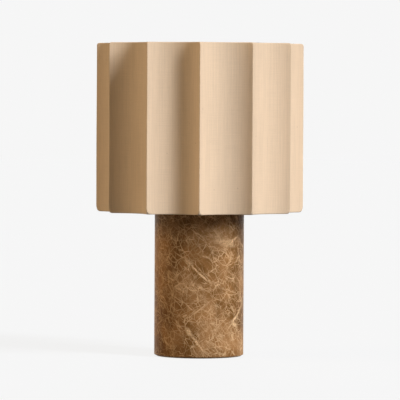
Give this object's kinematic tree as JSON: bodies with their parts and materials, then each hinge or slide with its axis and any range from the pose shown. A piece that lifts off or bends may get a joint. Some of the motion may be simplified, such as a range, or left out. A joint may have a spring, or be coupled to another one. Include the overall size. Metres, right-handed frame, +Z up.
{
  "type": "column table lamp",
  "caption": "Table lamp with a stone column, a screw-cap lamp holder and a fluted fabric drum shade clamped between two threaded rings.",
  "frame": {"origin": "on the table, under the middle of the felt pad", "axes": "+Z up along the column; -Y is the front, where one ridge of the shade points; the cable bush is at the back, +Y"},
  "size_m": [0.28, 0.28, 0.423],
  "materials": {
    "felt": "dense wool felt",
    "marble": "honed brown marble with pale veins",
    "bush_plastic": "moulded, satin",
    "zinc_steel": "zinc plated",
    "cork": "fine cork",
    "brass_trim": "brushed, lacquered",
    "holder_plastic": "moulded thermoset, semi-gloss",
    "holder_ceramic": "unglazed porcelain",
    "contact_brass": "bright, pressed",
    "shade_linen": "woven linen laminated on card",
    "shade_lining": "white lining film",
    "frame_wire": "white powder coat",
    "frame_steel": "bright wire",
    "bulb_insulator": "black moulded insulator",
    "bulb_cap_metal": "nickel plated, rolled thread",
    "bulb_glass": "clear",
    "stem_glass": "clear",
    "driver_board": "circuit board",
    "filament": "phosphor coated"
  },
  "bodies": {
    "base": {"base_felt": "felt", "marble_column": "marble", "cable_bush": "bush_plastic", "threaded_tube": "zinc_steel", "base_washer": "zinc_steel", "base_lock_washer": "zinc_steel", "base_nut": "zinc_steel", "cap_gasket": "cork", "column_cap": "brass_trim", "holder_locknut": "brass_trim", "holder_dome": "holder_plastic", "holder_set_screw": "zinc_steel", "holder_insert": "holder_ceramic", "terminal_screws": "contact_brass", "holder_shell": "contact_brass", "holder_skirt": "holder_plastic"},
    "contact": {"holder_centre_contact": "contact_brass"},
    "lower_ring": {"shade_ring_lower": "holder_plastic"},
    "shade": {"shade_cover": "shade_linen", "shade_liner": "shade_lining", "shade_bottom_ring": "frame_wire", "shade_top_ring": "frame_wire", "rib_01": "frame_wire", "rib_02": "frame_wire", "rib_03": "frame_wire", "rib_04": "frame_wire", "rib_05": "frame_wire", "rib_06": "frame_wire", "rib_07": "frame_wire", "rib_08": "frame_wire", "rib_09": "frame_wire", "rib_10": "frame_wire", "rib_11": "frame_wire", "rib_12": "frame_wire", "spider_ring": "frame_wire", "spider_arm_1": "frame_wire", "spider_arm_2": "frame_wire", "spider_arm_3": "frame_wire", "spider_arm_4": "frame_wire"},
    "upper_ring": {"shade_ring_upper": "holder_plastic"},
    "bulb": {"bulb_tip": "zinc_steel", "bulb_insulator": "bulb_insulator", "bulb_cap": "bulb_cap_metal", "bulb_glass": "bulb_glass", "bulb_driver": "driver_board", "bulb_stem": "stem_glass", "filament_cross_lower": "frame_steel", "filament_cross_upper": "frame_steel", "filament_1": "filament", "filament_2": "filament", "filament_3": "filament", "filament_4": "filament"}
  },
  "joints": [
    {"name": "contact_press", "type": "hinge", "parent": "base", "child": "contact", "pos_m": [-0.009, 0, 0.2473], "axis": [0, 1, 0], "range_deg": [0, 8], "stiffness_Nm_per_rad": 0.02, "springref_deg": -2.86},
    {"name": "lower_ring_turn", "type": "hinge", "parent": "base", "child": "lower_ring", "pos_m": [0, 0, 0.252], "axis": [0, 0, 1], "continuous": true},
    {"name": "shade_lift", "type": "slide", "parent": "lower_ring", "child": "shade", "axis": [0, 0, 1], "range_m": [0, 0.165]},
    {"name": "upper_ring_turn", "type": "hinge", "parent": "shade", "child": "upper_ring", "pos_m": [0, 0, 0.2615], "axis": [0, 0, 1], "continuous": true},
    {"name": "bulb_lift", "type": "slide", "parent": "base", "child": "bulb", "axis": [0, 0, 1], "range_m": [0, 0.18]}
  ]
}
